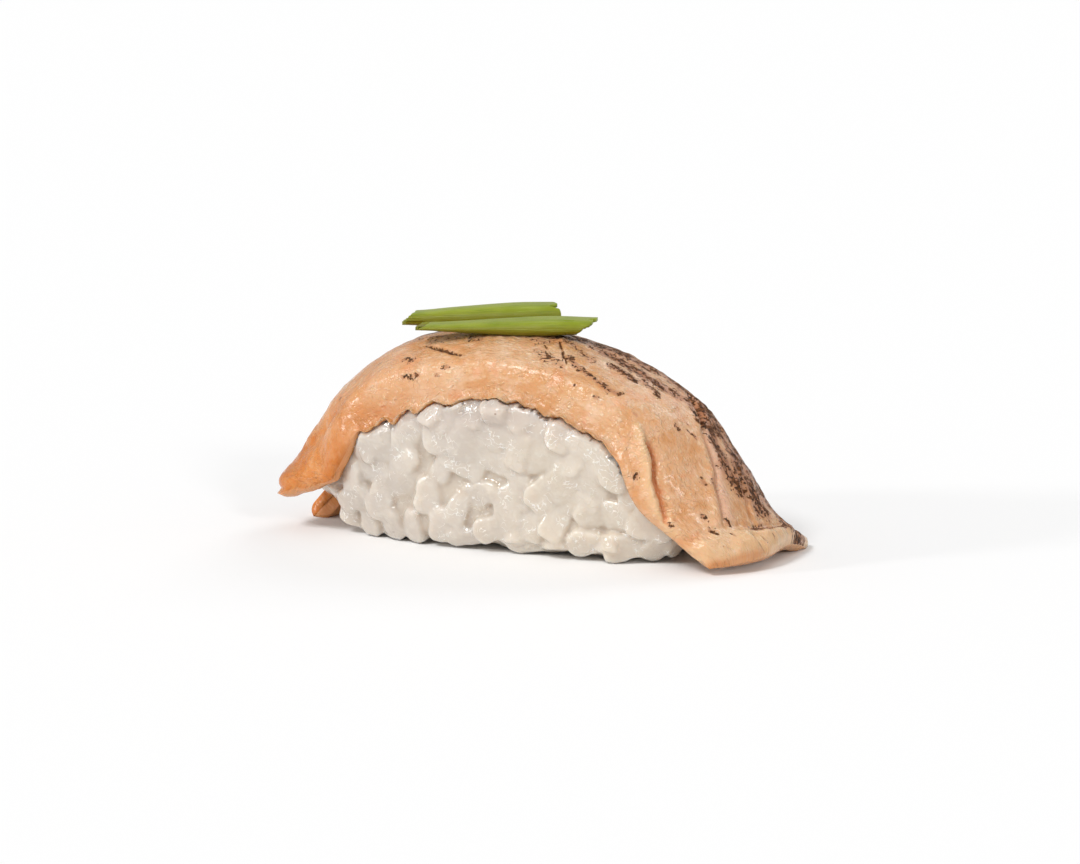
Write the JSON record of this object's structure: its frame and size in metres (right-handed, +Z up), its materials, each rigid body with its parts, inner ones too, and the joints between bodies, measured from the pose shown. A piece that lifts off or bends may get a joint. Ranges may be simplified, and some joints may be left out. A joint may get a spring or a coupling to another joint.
{
  "type": "salmon tataki nigiri sushi",
  "caption": "Nigiri sushi: an oblong block of cooked rice under a draped, seared salmon slice, with flattened spring onion leaves on top.",
  "frame": {"origin": "centre of the bounding box in plan, at the level of the rice block's flat foot", "axes": "+X along the slice towards its spread hem, +Y towards the far long side, +Z up"},
  "size_m": [0.075, 0.0288, 0.0335],
  "materials": {
    "cooked_rice": "moist, translucent off-white cooked rice",
    "seared_salmon": "wet, lightly torched salmon, pale peach with dark brown scorch marks",
    "spring_onion": "fresh green leaf with a waxy sheen"
  },
  "bodies": {
    "root": {"rice_block": "cooked_rice", "salmon_slice": "seared_salmon", "scallion_front": "spring_onion", "scallion_back": "spring_onion"}
  },
  "joints": []
}
